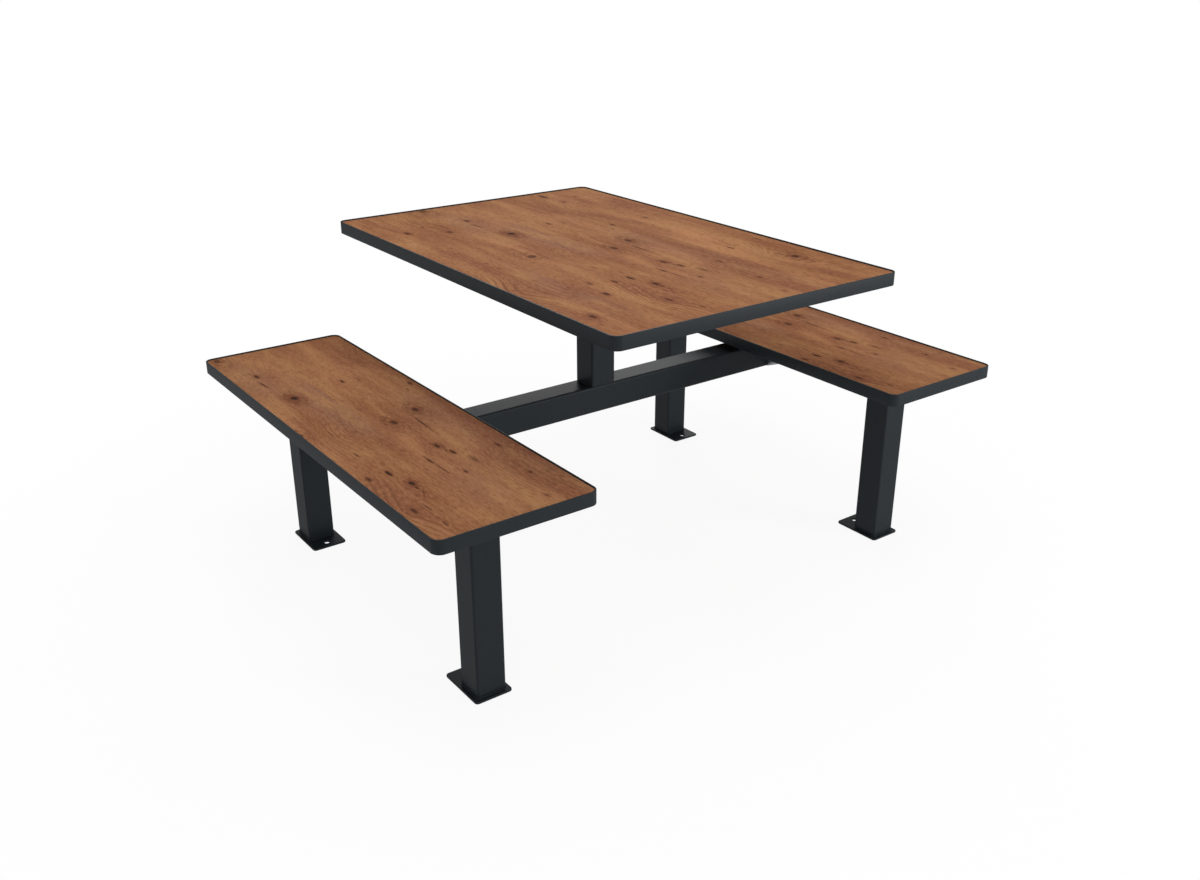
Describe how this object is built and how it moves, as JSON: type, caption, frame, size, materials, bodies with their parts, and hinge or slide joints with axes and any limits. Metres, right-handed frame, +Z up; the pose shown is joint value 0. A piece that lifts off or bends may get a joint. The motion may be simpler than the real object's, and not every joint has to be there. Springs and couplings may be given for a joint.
{
  "type": "table with attached seats",
  "caption": "Rectangular laminated table joined to a bench along each side by a low steel beam and a middle post, on square tube legs with bolt-down foot plates.",
  "frame": {"origin": "on the floor, in the middle of the unit's footprint", "axes": "+X across the unit from the left bench to the right bench, +Y along the benches, +Z up"},
  "size_m": [1.51, 1.152, 0.75],
  "materials": {
    "oak_laminate": "printed oak decor laminate, satin, grain along Y",
    "backing_laminate": "balancing laminate, matt brown",
    "chipboard": "raw chipboard, hidden",
    "edge_band": "anthracite edge lipping, satin, with a low lip",
    "frame_paint": "anthracite powder coat, satin",
    "zinc_plate": "zinc plated steel plate",
    "zinc_fastener": "zinc plated bolts, washers, nuts and screws",
    "cap_plastic": "black polyethylene tube caps"
  },
  "bodies": {
    "root": {"beam_bolts": "zinc_fastener", "beam_nuts": "zinc_fastener", "beam_washers": "zinc_fastener", "bearer_end_caps": "cap_plastic", "cross_beam": "frame_paint", "front_cross_bearer": "frame_paint", "left_beam_end_plate": "zinc_plate", "left_bench_backer": "backing_laminate", "left_bench_core": "chipboard", "left_bench_edge_band": "edge_band", "left_bench_laminate": "oak_laminate", "left_bench_screws": "zinc_fastener", "left_front_foot_plate": "frame_paint", "left_front_leg": "frame_paint", "left_front_seat_bearer": "frame_paint", "left_middle_seat_bearer": "frame_paint", "left_rear_foot_plate": "frame_paint", "left_rear_leg": "frame_paint", "left_rear_seat_bearer": "frame_paint", "left_seat_rail": "frame_paint", "left_table_bearer": "frame_paint", "post_plate": "frame_paint", "rear_cross_bearer": "frame_paint", "right_beam_end_plate": "zinc_plate", "right_bench_backer": "backing_laminate", "right_bench_core": "chipboard", "right_bench_edge_band": "edge_band", "right_bench_laminate": "oak_laminate", "right_bench_screws": "zinc_fastener", "right_front_foot_plate": "frame_paint", "right_front_leg": "frame_paint", "right_front_seat_bearer": "frame_paint", "right_middle_seat_bearer": "frame_paint", "right_rear_foot_plate": "frame_paint", "right_rear_leg": "frame_paint", "right_rear_seat_bearer": "frame_paint", "right_seat_rail": "frame_paint", "right_table_bearer": "frame_paint", "table_backer": "backing_laminate", "table_core": "chipboard", "table_edge_band": "edge_band", "table_laminate": "oak_laminate", "table_post": "frame_paint", "table_screws": "zinc_fastener"}
  },
  "joints": []
}
